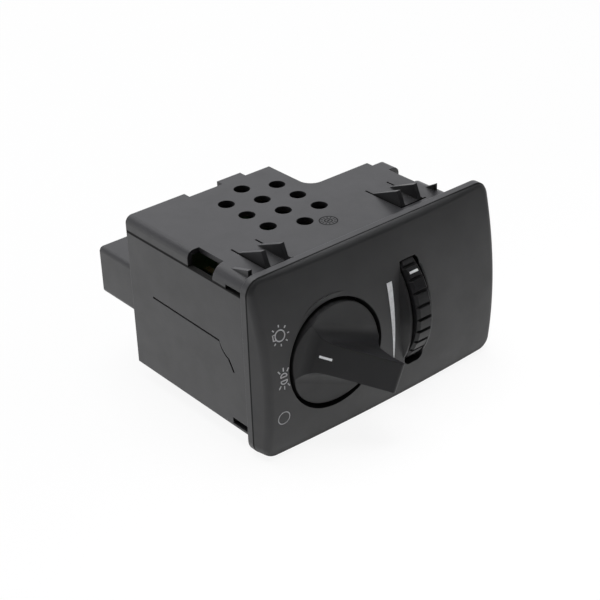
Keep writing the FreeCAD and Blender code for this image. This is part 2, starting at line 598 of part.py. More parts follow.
def housing():
    body = body_at("housing")
    half_width, half_height = "(bezel_width / 2)", "(bezel_height / 2)"
    block = outline(body, "case_block", "plan", "case_bottom", plan_path("0", "-rim_thickness"))
    pad(body, block, "seam_z - case_bottom")
    dress(body, "Fillet", "arm_corner", lambda edge: along(edge, Z_WAY)
          and abs(edge.CenterOfMass.x - value("arm_x")) < 0.01
          and abs(edge.CenterOfMass.y - value("arm_back")) < 0.01)
    room = outline(body, "case_room", "plan", "case_bottom + case_wall", plan_path("case_wall", "0"))
    pocket(body, room, "seam_z - case_bottom")
    rim = rounded(body, "rim", "front", "0", "-" + half_width, half_width, "-" + half_height, half_height,
                  "bezel_corner")
    pad(body, rim, "rim_thickness")

    boss = circles(body, "bearing_boss", "front", "-bearing_length",
                   [("knob_x", "knob_z", "shaft_radius + 2.5")])
    pad(body, boss, "bearing_length + rim_thickness / 2")
    for number, (x, z) in enumerate(PLATE_POSTS):
        post = circles(body, "plate_post_%d" % number, "front", "-plate_front", [(x, z, "post_radius")])
        pad(body, post, "plate_front + rim_thickness / 2")
    for number, (x, z, back) in enumerate(BOARD_POSTS):
        post = circles(body, "board_post_%d" % number, "front", "-(%s + 0.5)" % back, [(x, z, "post_radius")])
        pad(body, post, "%s + 0.5 - %s" % (back, BOARD_BACK))
    leaf_z = "(knob_z - detent_radius - air)"
    for number, x in enumerate(("knob_x - 15", "knob_x + 11")):
        ledge = rectangle(body, "leaf_ledge_%d" % number, "front", "-(%s + detent_thickness)" % DISC_FRONT,
                          x, x + " + 4", leaf_z + " - 6", leaf_z + " - 2 - strip")
        pad(body, ledge, "%s + detent_thickness + rim_thickness / 2" % DISC_FRONT)
    for number, x in enumerate(("wheel_x - wheel_width / 2 - cheek_gap - cheek",
                                "wheel_x + wheel_width / 2 + cheek_gap")):
        cheek = rectangle(body, "cheek_%d" % number, "side", x, "-rim_thickness / 2",
                          WHEEL_Y + " + cheek_half",
                          "wheel_z - cheek_half", "wheel_z + cheek_half")
        pad(body, cheek, "cheek")

    shaft_hole = circles(body, "shaft_hole", "front", "-bearing_length - 1",
                         [("knob_x", "knob_z", "shaft_radius + running_gap")])
    pocket(body, shaft_hole, "bearing_length + rim_thickness + 2")
    lights = circles(body, "light_holes", "front", "-1", [(x, z, "lamp_radius + 0.4") for x, z in LAMPS])
    pocket(body, lights, "rim_thickness + 2")
    pilots = circles(body, "plate_pilots", "front", "-plate_front - 1",
                     [(x, z, "screw_radius") for x, z in PLATE_POSTS])
    pocket(body, pilots, "plate_front")
    for number, (x, z, back) in enumerate(BOARD_POSTS):
        pilot = circles(body, "board_pilot_%d" % number, "front", "-%s - 5" % BOARD_BACK,
                        [(x, z, "screw_radius")])
        pocket(body, pilot, "6")
    opening = rectangle(body, "wheel_opening", "front", "-0.5", "wheel_x - wheel_width / 2 - 1",
                        "wheel_x + wheel_width / 2 + 1", "wheel_z - wheel_radius - 0.2",
                        "wheel_z + wheel_radius + 0.2")
    pocket(body, opening, "rim_thickness + 1")
    left_bore = circles(body, "axle_bore", "side", "wheel_x - wheel_width / 2 - cheek_gap - cheek - 1",
                        [(WHEEL_Y, "wheel_z", "wheel_axle_radius + running_gap")])
    pocket(body, left_bore, "cheek + 2")
    near, seat = "wheel_width / 2 + cheek_gap - 1", "wheel_width / 2 + cheek_gap + cheek"
    bore, room, far = SLEEVE_RADIUS + " + running_gap", "pot_radius + pot_air", seat + " + pot_depth"
    stepped = [(near, "0"), (near, bore), (seat, bore), (seat, room), (far, room), (far, "0")]
    right_bore = outline(body, "sleeve_bore", "plan", ("wheel_x", WHEEL_Y, "wheel_z"), stepped)
    revolve(body, right_bore, "H_Axis", groove=True)
    pins = rectangle(body, "pin_window", "front", "-deep_back - 1", "socket_left + 3", "socket_right - 3",
                     "socket_low + 3", "socket_high - 3")
    pocket(body, pins, "deep_step + case_wall + 2")

    snap_slits(body, "case_bottom - 1", "case_wall + 1.2", "low")
    snap_fins(body, "case_bottom", "-", "low")
    slot = rectangle(body, "side_slot", "side", "case_left - 1", "1.5", "8.9", "case_bottom + 0.8",
                     "case_bottom + 3")
    pocket(body, slot, "case_wall + 2")
    line = outline(body, "side_line_cut", "side", "case_left - 1", [
        ("48.2", "4.9"), ("13.6", "4.2", "7", 1), ("8.9", "-0.8"), ("6.6", "-4.6"),
        ("6.6 + side_line", "-4.6 - 0.3"), ("8.9 + side_line", "-0.8 - 0.3", "6.5", -1),
        ("13.6", "4.2 - side_line"), ("48.2", "4.9 - side_line")])
    pocket(body, line, "1 + side_line_depth")
    return body


# The cover

def top_cover():
    body = body_at("top_cover")
    tab = plan_path("0", "0")
    near, far = "arm_x - tab_inset", "arm_x - tab_inset - tab_width"
    tab[7:7] = [(near, "deep_back - deep_step"), (near, "deep_back"), (far, "deep_back"),
                (far, "deep_back - deep_step")]
    lid = outline(body, "lid", "plan", "seam_z", tab)
    pad(body, lid, "cover_top - seam_z")
    dress(body, "Fillet", "arm_corner", lambda edge: along(edge, Z_WAY)
          and abs(edge.CenterOfMass.x - value("arm_x")) < 0.01
          and abs(edge.CenterOfMass.y - value("arm_back")) < 0.01)
    room = outline(body, "lid_room", "plan", "seam_z - 1", plan_path("case_wall", "case_wall"))
    pocket(body, room, "cover_top - seam_z + 1 - case_wall")
    top = value("cover_top")
    sides = (value("case_left"), value("case_right"))
    dress(body, "Fillet", "cover_edge", lambda edge: along(edge, Y_WAY)
          and abs(edge.CenterOfMass.z - top) < 0.01
          and min(abs(edge.CenterOfMass.x - side) for side in sides) < 0.01)
    vents = []
    for column, rows in ((-1, (0.5, 1.5, 2.5)), (0, (0, 1, 2, 3)), (1, (0.5, 1.5, 2.5))):
        for row_number in rows:
            vents.append(("vent_x + %d * vent_pitch" % column, "vent_back - %s * vent_pitch" % row_number,
                          "vent_radius"))
    pocket(body, circles(body, "vents", "plan", "cover_top - case_wall - 1", vents), "case_wall + 2")
    for number, (left, right) in enumerate((("case_left - 1", "case_left + window_depth"),
                                            ("case_right - window_depth", "case_right + 1"))):
        window = rectangle(body, "window_%d" % number, "plan", "seam_z - 1", left, right, "window_front",
                           "window_back")
        pocket(body, window, "cover_top - seam_z + 2")
    for number, (side_x, inwards) in enumerate((("case_left", "+"), ("case_right", "-"))):
        spot = "(%s %s %%s)" % (side_x, inwards)
        corner = [(spot % "(-0.5)", "cover_top + 0.5"), (spot % "(-0.5)", "cover_top - shoulder_round"),
                  (spot % "0", "cover_top - shoulder_round", "shoulder_round", 1 if number == 0 else -1),
                  (spot % "shoulder_round", "cover_top"), (spot % "shoulder_round", "cover_top + 0.5")]
        pocket(body, outline(body, "shoulder_%d" % number, "front", "-window_front", corner), "window_front")
    for number, (x, back, front) in enumerate((("case_left + 3.6", "11.3", "2.0"),
                                               ("case_right - 3.6 - ear", "10.3", "5.6"))):
        path = [(front, "cover_top - 1.2"), (back, "cover_top - 1.2"), (back, "cover_top - 0.4"),
                (front, "cover_top + ear_height")]
        pad(body, outline(body, "ear_%d" % number, "side", x, path), "ear")
    slot = rectangle(body, "shoulder_slot", "side", "case_left - 1", "1.3", "8.8", "seam_z - 1",
                     "seam_z + 1.5")
    pocket(body, slot, "case_wall + 2")
    snap_slits(body, "cover_top - case_wall - 0.5", "case_wall + 1", "top")
    snap_fins(body, "cover_top", "", "top")
    return body


# The knob and what turns with it: own frame on the knob's axis, pointer towards its own -X

KNOB_REAR = "(rim_thickness + 0.5)"


def knob_frame(label):
    return body_at(label, "knob_x", "0", "knob_z", turn="knob_rest")


def ramp_y(along_grip):
    """Y of the straight part of the ramp, at a distance from the axis towards the pointer."""
    return "(-knob_face - pointer_rise - ramp_slope * (pointer_low - %s))" % along_grip


def grip_profile(body, name):
    """What is cut away in front of the grip: a hollow foot, a straight ramp, the nose and a steep fall."""
    reach = "(%s + 1)" % KNOB_RADIUS
    clear = "(%s - 3)" % ramp_y("grip_nose")
    low = "(pointer_low + 0.7)"
    path = [("-" + reach, "-knob_face + 1.2"), ("-ramp_foot", "-knob_face", "8", 1), ("-" + low, ramp_y(low)),
            ("-grip_nose - nose_round", ramp_y("(grip_nose + nose_round)"), "0.8 * nose_round", -1),
            ("-grip_nose + 0.3 * nose_round", ramp_y("grip_nose") + " + 0.9 * nose_round", "20", 1),
            ("%s - 0.8" % KNOB_RADIUS, "-knob_face - 0.1"),
            (reach, "-knob_face + 1.2"), (reach, clear), ("-" + reach, clear)]
    return outline(body, name, "plan", "-well_radius", path)


def knob():
    body = knob_frame("knob")
    blank = circles(body, "knob_blank", "front", KNOB_REAR, [("0", "0", KNOB_RADIUS)])
    pad(body, blank, "-%s + 1 - %s" % (ramp_y("grip_nose"), KNOB_REAR))
    reach = "(%s + 1)" % KNOB_RADIUS
    wall = "(grip_width / 2)"
    clear = "(%s - 3)" % ramp_y("grip_nose")
    low_edge = "(-knob_face + %s^2 / (2 * knob_dome))" % reach
    for side, name, turn in (("", "upper", -1), ("-", "lower", 1)):
        path = [(clear, side + wall), ("-knob_face - grip_flare", side + wall, "grip_flare", turn),
                ("-knob_face", "%s(%s + grip_flare)" % (side, wall)), (low_edge, side + reach),
                (clear, side + reach)]
        hollow = outline(body, "grip_hollow_" + name, "side", "-well_radius", path)
        pocket(body, hollow, "2 * well_radius")
    pocket(body, grip_profile(body, "grip_profile"), "2 * well_radius")
    skirt = [("shaft_radius + hub_wall", "0"), ("%s - knob_skin" % KNOB_RADIUS, "0"),
             ("%s - knob_skin" % KNOB_RADIUS, "-knob_face + knob_skin + 0.8"),
             ("shaft_radius + hub_wall", "-knob_face + knob_skin + 0.3")]
    revolve(body, outline(body, "skirt_room", "plan", "0", skirt), "V_Axis", groove=True)
    flat = "(shaft_flat + strip + 0.1)"
    bore = d_outline(body, "shaft_bore", "0", "(shaft_radius + running_gap)", flat)
    pocket(body, bore, "knob_face - 1")
    line = pointer_outline(body, "pointer_slot")
    pocket(body, line, "pointer_width")
    return body


def d_outline(body, name, shift, radius, flat):
    """A D-shaped outline round the axis, flat towards the body's own +Z."""
    half = "sqrt(%s^2 - %s^2)" % (radius, flat)
    sketch = empty_sketch(body, name, "front", shift)
    half_chord, height, size = value(half), value(flat), value(radius)
    left, right = FreeCAD.Vector(-half_chord, height, 0), FreeCAD.Vector(half_chord, height, 0)
    circle = Part.Circle(FreeCAD.Vector(), FreeCAD.Vector(0, 0, 1), size)
    turn = 2 * math.pi
    sketch.addGeometry(Part.LineSegment(right, left), False)
    sketch.addGeometry(Part.ArcOfCircle(circle, circle.parameter(left), circle.parameter(right) + turn),
                       False)
    sketch.addConstraint(Sketcher.Constraint("Coincident", 0, 2, 1, 1))
    sketch.addConstraint(Sketcher.Constraint("Coincident", 1, 2, 0, 1))
    sketch.addConstraint(Sketcher.Constraint("Coincident", 1, 3, -1, 1))
    hold(sketch, "Radius", 1, text=radius)
    hold(sketch, "DistanceY", 0, 1, text=flat)
    sketch.addConstraint(Sketcher.Constraint("Horizontal", 0))
    return sketch


def pointer_outline(body, name):
    """The pointer insert from the side: its top lies in the straight ramp."""
    path = [("-" + spot, ramp_y(spot) + sink) for spot, sink in (
        ("pointer_low", ""), ("pointer_low", " + pointer_depth"), ("pointer_high", " + pointer_depth"),
        ("pointer_high", ""))]
    return outline(body, name, "plan", "-pointer_width / 2", path)


def knob_pointer():
    body = knob_frame("knob_pointer")
    pad(body, pointer_outline(body, "pointer_bar"), "pointer_width")
    return body


def knob_clip():
    """The spring strip that grips the flat of the shaft."""
    body = knob_frame("knob_clip")
    strip = rectangle(body, "clip_strip", "front", "3.4", "-2.6", "2.6", "shaft_flat + 0.05",
                      "shaft_flat + 0.05 + strip")
    pad(body, strip, "knob_face - 5.5")
    return body


def rotor():
    body = knob_frame("rotor")
    disc_back = "(%s + detent_thickness)" % DISC_FRONT
    profile = [("0", "-knob_face + 1.9"), ("shaft_radius - 0.6", "-knob_face + 1.9"),
               ("shaft_radius", "-knob_face + 2.5"), ("shaft_radius", DISC_FRONT),
               ("detent_radius", DISC_FRONT),
               ("detent_radius", disc_back), ("shaft_radius - 0.5", disc_back),
               ("shaft_radius - 0.5", "plate_front - air"), ("tail_radius", "plate_front - air"),
               ("tail_radius", "plate_front + plate_thickness"), ("0", "plate_front + plate_thickness")]
    revolve(body, outline(body, "rotor_profile", "plan", "0", profile), "V_Axis")
    flat = rectangle(body, "shaft_flat_cut", "front", "rim_thickness + 0.4", "-shaft_radius", "shaft_radius",
                     "shaft_flat", "shaft_radius + 1")
    pocket(body, flat, "knob_face")
    notches = []
    for position in range(3):
        angle = "(detent_step * %d - knob_rest)" % position
        notches.append(("-(detent_radius + 0.5) * sin(%s)" % angle,
                        "-(detent_radius + 0.5) * cos(%s)" % angle,
                        "detent_notch"))
    pocket(body, circles(body, "detent_notches", "front", "-%s - 1" % disc_back, notches),
           "detent_thickness + 2")
    return body


def contact_carrier():
    body = knob_frame("contact_carrier")
    front = "(%s + detent_thickness)" % DISC_FRONT
    rings = [("0", "0", "carrier_radius"), ("0", "0", "shaft_radius - 0.5 + running_gap")]
    pad(body, circles(body, "carrier_disc", "front", "-(%s + carrier_thickness)" % front, rings),
        "carrier_thickness")
    return body


def moving_contacts():
    """Three sprung bridges on the carrier, each a strip with two raised feet."""
    return group("moving_contacts", [contact_bridge(number) for number in range(3)])


def contact_bridge(number):
    body = body_at("bridge_%d" % number, "knob_x", "0", "knob_z", turn="knob_rest + 120 * %d" % number)
    base = "(%s + detent_thickness + carrier_thickness)" % DISC_FRONT
    crest = "(plate_front - strip - air)"
    path = [("-5", crest + " - strip"), ("-3.6", crest + " - strip"), ("-2.2", base), ("2.2", base),
            ("3.6", crest + " - strip"), ("5", crest + " - strip"), ("5", crest), ("3.2", crest),
            ("1.8", base + " + strip"), ("-1.8", base + " + strip"), ("-3.2", crest), ("-5", crest)]
    pad(body, outline(body, "bridge_strip_%d" % number, "plan", "track_radius - track_width / 2", path),
        "track_width")
    return body


def detent_leaf():
    """The leaf spring whose nose drops into the rotor's notches; drawn resting on its two ledges."""
    body = body_at("detent_leaf", "knob_x", "0", "knob_z")
    top = "(-detent_radius - air)"
    seat = "(%s - 2)" % top
    path = [("-15", seat), ("-4", seat), ("-1.4", top + " - 0.3"), ("0", top), ("1.4", top + " - 0.3"),
            ("4", seat), ("15", seat), ("15", seat + " - strip"), ("3.7", seat + " - strip"),
            ("1.2", top + " - 0.3 - strip"),
            ("-1.2", top + " - 0.3 - strip"), ("-3.7", seat + " - strip"), ("-15", seat + " - strip")]
    leaf = outline(body, "leaf_strip", "front", "-(%s + detent_thickness)" % DISC_FRONT, path)
    pad(body, leaf, "detent_thickness")
    return body


# The contact plate and its metal

def contact_plate():
    body = body_at("contact_plate")
    sheet_of = rectangle(body, "plate_sheet", "front", "-(plate_front + plate_thickness)", "board_left",
                         "arm_x - case_wall - 3 * board_gap", "board_low", "seam_z - 4.5 * board_gap")
    pad(body, sheet_of, "plate_thickness")
    holes = [("knob_x", "knob_z", "tail_radius + running_gap")]
    holes += [(x, z, "screw_radius") for x, z in PLATE_POSTS]
    pocket(body, circles(body, "plate_holes", "front", "-(plate_front + plate_thickness) - 1", holes),
           "plate_thickness + 2")
    return body


def fixed_contacts():
    """Four curved tracks on the front of the contact plate."""
    pieces = []
    for quarter in range(4):
        track = doc.addObject("Part::Feature", "track_%d" % quarter)
        inner, outer = value("track_radius - track_width / 2"), value("track_radius + track_width / 2")
        thickness, sweep = value("strip"), 70
        rings = [Part.makeCylinder(radius, thickness, FreeCAD.Vector(), FreeCAD.Vector(0, 1, 0), sweep)
                 for radius in (outer, inner)]
        track.Shape = rings[0].cut(rings[1])
        track.Placement = FreeCAD.Placement(FreeCAD.Vector(value("knob_x"), value("plate_front - strip"),
                                                           value("knob_z")),
                                            FreeCAD.Rotation(FreeCAD.Vector(0, 1, 0), 90 * quarter + 10))
        pieces.append(track)
    return group("fixed_contacts", pieces)


BAR_XS = ["case_left + 9.2 + %d * 5.6" % number for number in range(6)]


def bus_bars():
    bars = [box("bus_bar_%d" % number, (x, x + " + 2.4"), ("plate_front + plate_thickness", "board_front"),
                ("knob_z + 8.2", "knob_z + 8.2 + pin_thickness")) for number, x in enumerate(BAR_XS)]
    return group("bus_bars", bars)


def screws(name, spots, seat, length):
    """Self-tapping screws along Y whose heads stand in front of a seat, or behind it for the contact plate."""
    pieces = []
    behind = name == "plate_screws"
    for number, (x, z) in enumerate(spots):
        head = (seat, seat + " + screw_head_height") if behind else (seat + " - screw_head_height", seat)
        shank = (seat + " - %s" % length, seat) if behind else (seat, seat + " + %s" % length)
        pieces.append(joined("%s_%d" % (name, number), [
            rod("%s_head_%d" % (name, number), "y", "screw_head", head, (x, z)),
            rod("%s_shank_%d" % (name, number), "y", "screw_radius - running_gap", shank, (x, z))]))
    return group(name, pieces)


def circuit_board():
    sheet_of = box("board_sheet", ("board_left", "arm_x - case_wall - 2 * board_gap"),
                   ("board_front", BOARD_BACK),
                   ("board_low", "seam_z - 4 * board_gap"))
    holes = [rod("board_hole_%d" % number, "y", "screw_radius", ("board_front - 1", BOARD_BACK + " + 1"),
                 (x, z))
             for number, (x, z, _) in enumerate(BOARD_POSTS)]
    return taken_from("circuit_board", sheet_of, holes)


LEAD_Y = "(%s + wheel_radius + 1.1)" % WHEEL_Y


# The thumbwheel and the dimmer: own frame at the middle of the wheel's axle

def wheel_frame(label):
    return body_at(label, "wheel_x", WHEEL_Y, "wheel_z")


def mark_place(out, along_rim):
    """A point of the mark in the side view: distance from the axle and offset along the rim."""
    across = "(-(%s) * cos(mark_angle) - (%s) * sin(mark_angle))" % (out, along_rim)
    up = "((%s) * sin(mark_angle) - (%s) * cos(mark_angle))" % (out, along_rim)
    return across, up


def mark_outline(body, name, out):
    half = "mark_width / 2"
    path = [mark_place("wheel_radius - 1.6", "-" + half), mark_place("wheel_radius - 1.6", half),
            mark_place(out, half), mark_place(out, "-" + half)]
    return outline(body, name, "side", "-mark_length / 2", path)


def dimmer_wheel():
    body = wheel_frame("dimmer_wheel")
    half, web = "(wheel_width / 2)", "(wheel_web / 2)"
    shoulder = "0.9"
    sleeve_end = "(wheel_width / 2 + cheek_gap + cheek + pot_depth - 1)"
    profile = [("-" + half, "wheel_axle_radius + running_gap"),
               (sleeve_end, "wheel_axle_radius + running_gap"),
               (sleeve_end, SLEEVE_RADIUS), (half, SLEEVE_RADIUS), (half, "wheel_axle_radius + 3.4"),
               (web, "wheel_axle_radius + 4.4"), (web, "wheel_radius - 4.4"), (half, "wheel_radius - 3.6"),
               (half, "wheel_radius - " + shoulder), (half + " - " + shoulder, "wheel_radius"),
               ("-%s + %s" % (half, shoulder), "wheel_radius"), ("-" + half, "wheel_radius - " + shoulder),
               ("-" + half, "wheel_radius - 3.6"), ("-" + web, "wheel_radius - 4.4"),
               ("-" + web, "wheel_axle_radius + 4.4"), ("-" + half, "wheel_axle_radius + 3.4")]
    revolve(body, outline(body, "wheel_profile", "plan", "0", profile), "H_Axis")
    reach, floor = "(wheel_radius + 0.6)", "(wheel_radius - rib_depth)"
    turn = "(mark_angle - 180 / rib_count)"

    def spot(out, off):
        return ("(-(%s) * cos(%s) - (%s) * sin(%s))" % (out, turn, off, turn),
                "((%s) * sin(%s) - (%s) * cos(%s))" % (out, turn, off, turn))

    groove = outline(body, "rib_groove_cut", "side", "-wheel_width",
                     [spot(reach, "-rib_groove * 0.8"), spot(floor, "-rib_groove * 0.3"),
                      spot(floor, "rib_groove * 0.3"), spot(reach, "rib_groove * 0.8")])
    around(body, pocket(body, groove, "2 * wheel_width"), "X_Axis", "rib_count")
    pocket(body, mark_outline(body, "mark_slot", "wheel_radius + 1"), "mark_length")
    return body


def wheel_mark():
    body = wheel_frame("wheel_mark")
    pad(body, mark_outline(body, "mark_bar", "wheel_radius - 0.05"), "mark_length")
    return body


def wheel_axle():
    return rod("wheel_axle", "x", "wheel_axle_radius",
               ("wheel_x - wheel_width / 2 - cheek_gap - cheek", POT_LEFT + " + pot_depth"),
               (WHEEL_Y, "wheel_z"))


def dimmer_pot():
    """The potentiometer's cup, open towards its board."""
    cup = rod("pot_cup", "x", "pot_radius", (POT_LEFT, POT_LEFT + " + pot_depth"), (WHEEL_Y, "wheel_z"))
    room = rod("pot_room", "x", "pot_radius - 1.2", (POT_LEFT + " + 1", POT_LEFT + " + pot_depth + 1"),
               (WHEEL_Y, "wheel_z"))
    bore = rod("pot_bore", "x", SLEEVE_RADIUS + " + air", (POT_LEFT + " - 1", POT_LEFT + " + 2"),
               (WHEEL_Y, "wheel_z"))
    return taken_from("dimmer_pot", cup, [room, bore])


def pot_wiper():
    """The wiper disc on the wheel's sleeve."""
    disc = rod("wiper_disc", "x", "pot_radius - 1.6",
               (POT_LEFT + " + pot_depth - 2", POT_LEFT + " + pot_depth - 2 + strip"),
               (WHEEL_Y, "wheel_z"))
    bore = rod("wiper_bore", "x", SLEEVE_RADIUS + " + running_gap", (POT_LEFT, POT_LEFT + " + pot_depth"),
               (WHEEL_Y, "wheel_z"))
    return taken_from("pot_wiper", disc, [bore])


def dimmer_board():
    left = "(%s + pot_depth)" % POT_LEFT
    sheet_of = box("dimmer_sheet", (left, left + " + board"), ("0", LEAD_Y + " + 1.4"),
                   ("wheel_z - 10", "wheel_z + 10"))
    hole = rod("dimmer_hole", "x", "wheel_axle_radius + running_gap",
               (left + " - 1", left + " + board + 1"), (WHEEL_Y, "wheel_z"))
    return taken_from("dimmer_board", sheet_of, [hole])


def dimmer_leads():
    """Three flat leads from the dimmer's board round behind the wheel to the main board."""
    left, right = "(arm_x - 9.8)", "(%s + pot_depth)" % POT_LEFT
    pieces = []
    for number, shift in enumerate(("- 6", "+ 0", "+ 6")):
        span = ("wheel_z %s - 1" % shift, "wheel_z %s + 1" % shift)
        across = box("lead_across_%d" % number, (left, right), (LEAD_Y, LEAD_Y + " + pin_thickness"), span)
        back = box("lead_back_%d" % number, (left, left + " + pin_thickness"), (LEAD_Y, "board_front"), span)
        pieces.append(joined("lead_%d" % number, [across, back]))
    return group("dimmer_leads", pieces)


# Light, connector

def light_guide():
    """The clear plate behind the symbols, hollowed to pass the well."""
    sheet_of = box("guide_sheet", ("-bezel_width / 2 + bezel_wall + 2", "knob_x - well_radius - 0.1"),
                   ("-rim_thickness - 2.4", "-rim_thickness"), ("knob_z - 20.4", "knob_z + 16.4"))
    well = rod("guide_well", "y", "well_radius + well_collar + running_gap", ("-rim_thickness - 3", "0"),
               ("knob_x", "knob_z"))
    return taken_from("light_guide", sheet_of, [well])


def symbol_lamps():
    """Small pointed bulbs that stand on the contact plate and look forwards through the front plate."""
    pieces = []
    for number, (x, z) in enumerate(LAMPS):
        stem = rod("lamp_stem_%d" % number, "y", "lamp_radius", ("3 + lamp_radius", "plate_front"), (x, z))
        tip = doc.addObject("Part::Cone", "lamp_tip_%d" % number)
        tip.Placement = FreeCAD.Placement(FreeCAD.Vector(), AXIS_TURN["y"])
        bind(tip, Radius1="lamp_radius / 3", Radius2="lamp_radius", Height="lamp_radius",
             Placement__Base__x=x, Placement__Base__y="3", Placement__Base__z=z)
        pieces.append(joined("lamp_%d" % number, [stem, tip]))
    return group("symbol_lamps", pieces)


PINS = [("(%s + %s * pin_pitch)" % (SOCKET_X, column), "(%s + %s * pin_rows)" % (SOCKET_Z, level))
        for level in ("-0.5", "0.5") for column in ("-2.5", "-1.5", "-0.5", "0.5", "1.5", "2.5")]


def connector_shroud():
    body = body_at("connector_shroud")
    block = rectangle(body, "socket_block", "front", "-socket_back", "socket_left", "socket_right",
                      "socket_low",
                      "socket_high")
    pad(body, block, "socket_back - deep_back")
    dress(body, "Fillet", "1.6", lambda edge: along(edge, Y_WAY))
    room = rounded(body, "socket_room", "front", "-socket_back - 1", "socket_left + socket_wall",
                   "socket_right - socket_wall", "socket_low + socket_wall", "socket_high - socket_wall",
                   "0.8")
    pocket(body, room, "socket_back + 1 - deep_back - socket_base")
    foot = rectangle(body, "socket_foot", "front", "-deep_back", "deep_step_x", "socket_right",
                     "socket_low", "socket_high")
    pad(body, foot, "deep_step")
    for number, (x, z) in enumerate(PINS):
        hole = rectangle(body, "pin_hole_%d" % number, "front", "-socket_back", x + " - pin_width / 2",
                         x + " + pin_width / 2", z + " - pin_thickness / 2", z + " + pin_thickness / 2")
        pocket(body, hole, "socket_back")
    return body


def terminal_pins():
    pins = [box("pin_%d" % number, (x + " - pin_width / 2", x + " + pin_width / 2"), (BOARD_BACK, "pin_end"),
                (z + " - pin_thickness / 2", z + " + pin_thickness / 2"))
            for number, (x, z) in enumerate(PINS)]
    return group("terminal_pins", pins)


def build():
    made = [front_bezel(), housing(), top_cover(), knob(), knob_pointer(), knob_clip(), rotor(),
            contact_carrier(),
            moving_contacts(), detent_leaf(), contact_plate(), fixed_contacts(), bus_bars(),
            screws("plate_screws", PLATE_POSTS, "(plate_front + plate_thickness)", "7"), circuit_board(),
            screws("board_screws", [(x, z) for x, z, _ in BOARD_POSTS], "board_front", "5.5"),
            dimmer_wheel(), wheel_mark(), wheel_axle(), dimmer_pot(), pot_wiper(), dimmer_board(),
            dimmer_leads(),
            light_guide(), symbol_lamps(), connector_shroud(), terminal_pins()]
    doc.recompute()
    for thing in doc.Objects:
        if "Invalid" in thing.State or "Error" in thing.State:
            raise RuntimeError("object failed: " + thing.Name)
    os.makedirs("parts", exist_ok=True)
    for node in made:
        if node.Shape.isNull() or not node.Shape.isValid():
            raise RuntimeError("no good shape: " + node.Label)
        node.Shape.exportStep("parts/%s.step" % node.Label)
        print("%-18s %2d solids %9.1f mm3" % (node.Label, len(node.Shape.Solids), node.Shape.Volume))


build()
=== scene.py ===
import json
import math

import bmesh
import bpy
from mathutils import Matrix, Vector


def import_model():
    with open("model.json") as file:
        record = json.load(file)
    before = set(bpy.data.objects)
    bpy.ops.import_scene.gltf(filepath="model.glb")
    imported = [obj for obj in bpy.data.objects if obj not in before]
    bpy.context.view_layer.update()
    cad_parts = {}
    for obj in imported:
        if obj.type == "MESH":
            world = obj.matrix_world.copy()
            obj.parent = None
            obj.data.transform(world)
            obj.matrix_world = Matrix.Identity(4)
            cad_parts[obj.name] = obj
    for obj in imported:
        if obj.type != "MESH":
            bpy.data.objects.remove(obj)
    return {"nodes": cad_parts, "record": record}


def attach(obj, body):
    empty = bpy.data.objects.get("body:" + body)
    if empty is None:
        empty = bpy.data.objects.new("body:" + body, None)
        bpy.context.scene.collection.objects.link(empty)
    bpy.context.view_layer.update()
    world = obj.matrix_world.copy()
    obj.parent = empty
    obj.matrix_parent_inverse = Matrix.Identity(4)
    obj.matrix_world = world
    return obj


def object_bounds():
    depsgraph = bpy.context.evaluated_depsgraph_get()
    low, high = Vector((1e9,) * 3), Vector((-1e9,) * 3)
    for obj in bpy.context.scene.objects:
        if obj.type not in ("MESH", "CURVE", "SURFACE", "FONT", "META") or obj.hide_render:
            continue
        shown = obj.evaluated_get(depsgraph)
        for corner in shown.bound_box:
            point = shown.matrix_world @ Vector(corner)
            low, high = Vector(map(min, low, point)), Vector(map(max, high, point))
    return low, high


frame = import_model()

MM = 0.001
cad_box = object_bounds()
nodes = frame["nodes"]


# The bezel's crowned face, in millimetres: how far it stands out, how it curves, and its half width

FACE_REACH = 10.8
CROWN_RADIUS = 120.0
CROWN_DROP = 8.0
SIDE_DROP = 1.5
HALF_WIDTH = 50.5

# The marks, in millimetres: height above the surface, line width, and the middle of each

PRINT_LIFT = 0.03
STROKE = 0.42
HEADLAMP_SPOT = (-42.65, 12.45)
PARKING_SPOT = (-43.0, -1.85)
OFF_SPOT = (-43.45, -15.95)
CLOCK_SPOT = (-4.2, 13.4)
COVER_TOP = 29.15

# Where pieces join, how far from there a joint is darkest and ends, and how far a recess is looked into for
# its painted shade, in millimetres

RIM_THICKNESS = 2.4
COVER_SEAM = 24.0
JOINT_DARK = 0.3
JOINT_CLEAR = 0.6
RECESS = 5.0

# Shares of open sky at which the painted shade in a recess is darkest and gone, and the colour left where it
# is darkest

PAINTED_SHADE_SHUT = 0.25
PAINTED_SHADE_OPEN = 0.8
PAINTED_SHADE_DARKEST = 0.05

# Depths of surface relief, in millimetres, scales of the noise in the moulded plastic, and samples of the
# nodes that paint shade into its recesses and round its edges

GRAIN_DEPTH = 0.03
STREAK_DEPTH = 0.02
CLOUD_SCALE = 45.0
RUB_SCALE = 120.0
SHADE_SAMPLES = 6


# Shader helpers

def new_material(name):
    """A material and its node tree."""
    material = bpy.data.materials.new(name)
    material.use_nodes = True
    return material, material.node_tree


def node_of(tree, kind, **settings):
    """A node with settings that are its own properties or, failing that, its inputs."""
    node = tree.nodes.new(kind)
    for name, setting in settings.items():
        if hasattr(node, name):
            setattr(node, name, setting)
        else:
            node.inputs[name.replace("_", " ")].default_value = setting
    return node


def object_coordinates(tree):
    return tree.nodes.new("ShaderNodeTexCoord").outputs["Object"]


def noise(tree, scale, detail=3.0, roughness=0.55):
    """Factor of a noise that stays with the object."""
    texture = node_of(tree, "ShaderNodeTexNoise", Scale=scale, Detail=detail, Roughness=roughness)
    tree.links.new(object_coordinates(tree), texture.inputs["Vector"])
    return texture.outputs["Fac"]


